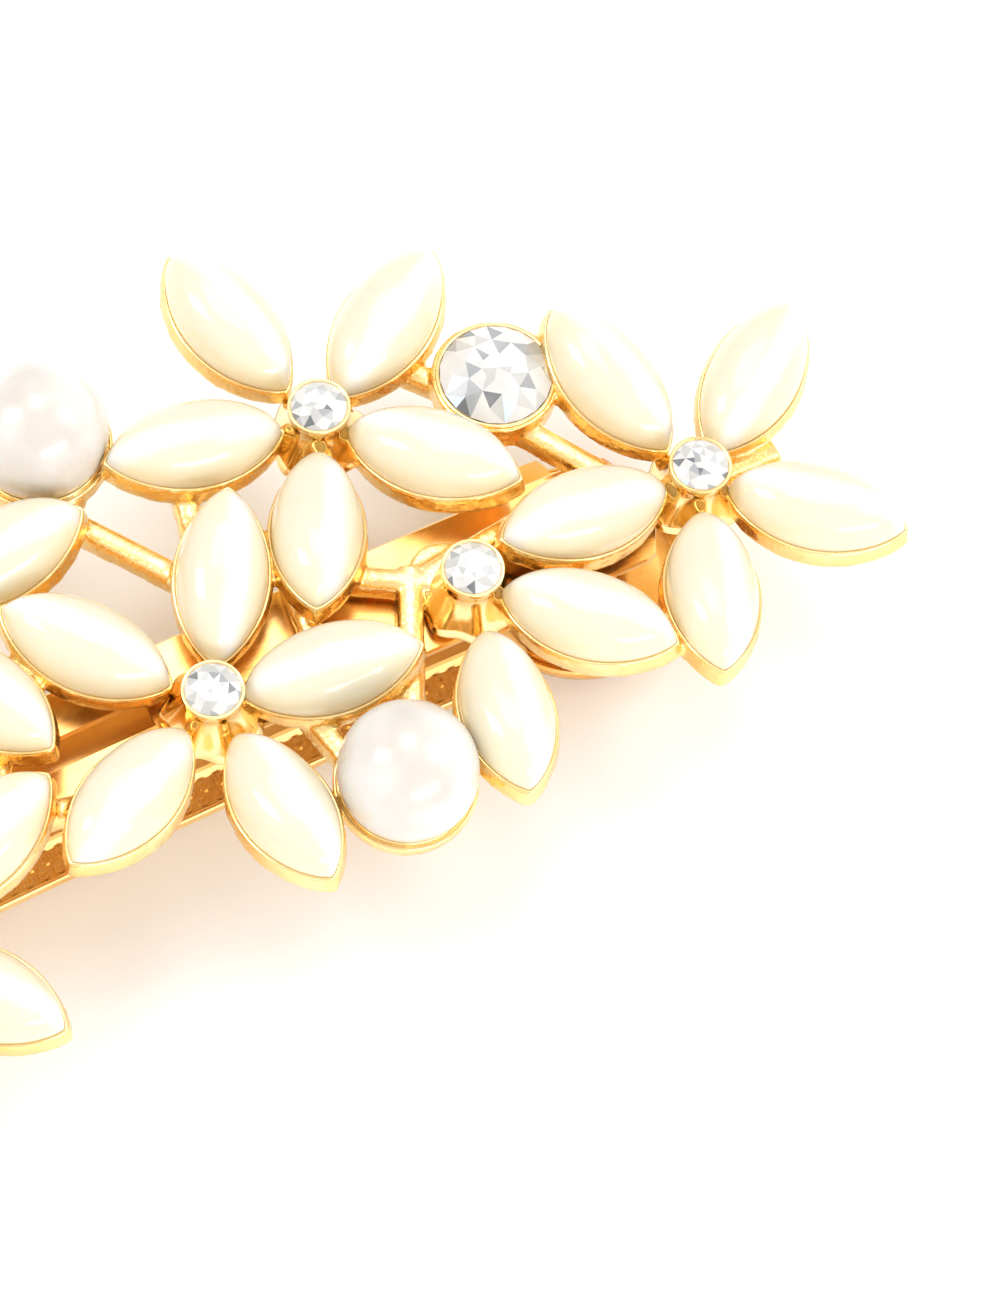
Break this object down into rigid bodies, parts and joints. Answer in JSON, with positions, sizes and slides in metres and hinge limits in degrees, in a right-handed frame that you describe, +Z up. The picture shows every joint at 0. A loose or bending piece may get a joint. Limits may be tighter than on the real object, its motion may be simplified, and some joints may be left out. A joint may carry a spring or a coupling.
{
  "type": "hair barrette",
  "caption": "Arched flower barrette: a gilt casting set with cat's-eye petals, faceted stones and pearls, on a sprung hair clip with a swing arm.",
  "frame": {"origin": "under the middle of the whole piece, on the surface that the clip stands on", "axes": "+X along the clip from its hinge to its catch, +Y to the back, +Z up towards the flowers"},
  "size_m": [0.0998, 0.044, 0.0178],
  "materials": {
    "gilt_casting": "polished light gold plate",
    "gilt_clip": "gold-plated spring steel",
    "cats_eye": "polished ivory cat's-eye",
    "crystal": "faceted and foil-backed",
    "pearl": "pearl lustre"
  },
  "bodies": {
    "top": {"cast_frame": "gilt_casting", "top_plate": "gilt_clip", "hinge_pin": "gilt_clip", "catch_base": "gilt_clip", "rivet_left": "gilt_clip", "rivet_right": "gilt_clip", "rivet_catch": "gilt_clip", "petal_crest_1": "cats_eye", "petal_crest_2": "cats_eye", "petal_crest_3": "cats_eye", "petal_crest_4": "cats_eye", "petal_crest_5": "cats_eye", "petal_middle_1": "cats_eye", "petal_middle_2": "cats_eye", "petal_middle_3": "cats_eye", "petal_middle_4": "cats_eye", "petal_middle_5": "cats_eye", "petal_end_right_1": "cats_eye", "petal_end_right_2": "cats_eye", "petal_end_right_3": "cats_eye", "petal_end_right_4": "cats_eye", "petal_end_right_5": "cats_eye", "petal_bridge_1": "cats_eye", "petal_bridge_2": "cats_eye", "petal_upper_1": "cats_eye", "petal_upper_2": "cats_eye", "petal_upper_3": "cats_eye", "petal_upper_4": "cats_eye", "petal_lower_1": "cats_eye", "petal_lower_2": "cats_eye", "petal_lower_3": "cats_eye", "petal_lower_4": "cats_eye", "petal_lower_5": "cats_eye", "petal_end_left_1": "cats_eye", "petal_end_left_2": "cats_eye", "petal_end_left_3": "cats_eye", "petal_end_left_4": "cats_eye", "petal_end_left_5": "cats_eye", "rhinestone_crest": "crystal", "rhinestone_middle": "crystal", "rhinestone_end_right": "crystal", "rhinestone_bridge": "crystal", "rhinestone_upper": "crystal", "rhinestone_lower": "crystal", "rhinestone_end_left": "crystal", "large_stone_right": "crystal", "large_stone_left": "crystal", "pearl_front": "pearl", "pearl_back": "pearl", "pearl_left": "pearl"},
    "arm": {"swing_arm": "gilt_clip"},
    "bow": {"tension_bar": "gilt_clip"},
    "front_ear": {"ear_front": "gilt_clip"},
    "back_ear": {"ear_back": "gilt_clip"}
  },
  "joints": [
    {"name": "arm_hinge", "type": "hinge", "parent": "top", "child": "arm", "pos_m": [-0.036, -0.0024, 0.0012], "axis": [0, 1, 0], "range_deg": [0, 100]},
    {"name": "bow_flex", "type": "hinge", "parent": "top", "child": "bow", "pos_m": [-0.028, -0.0024, 0.00831], "axis": [0, 1, 0], "range_deg": [-1, 0], "stiffness_Nm_per_rad": 0.05},
    {"name": "ear_front_squeeze", "type": "hinge", "parent": "top", "child": "front_ear", "pos_m": [0.03142, -0.005, 0.00815], "axis": [0.9941, 0, -0.1086], "range_deg": [0, 5], "stiffness_Nm_per_rad": 0.02},
    {"name": "ear_back_squeeze", "type": "hinge", "parent": "top", "child": "back_ear", "pos_m": [0.03142, 0.0002, 0.00815], "axis": [-0.9941, 0, 0.1086], "range_deg": [0, 5], "stiffness_Nm_per_rad": 0.02}
  ]
}
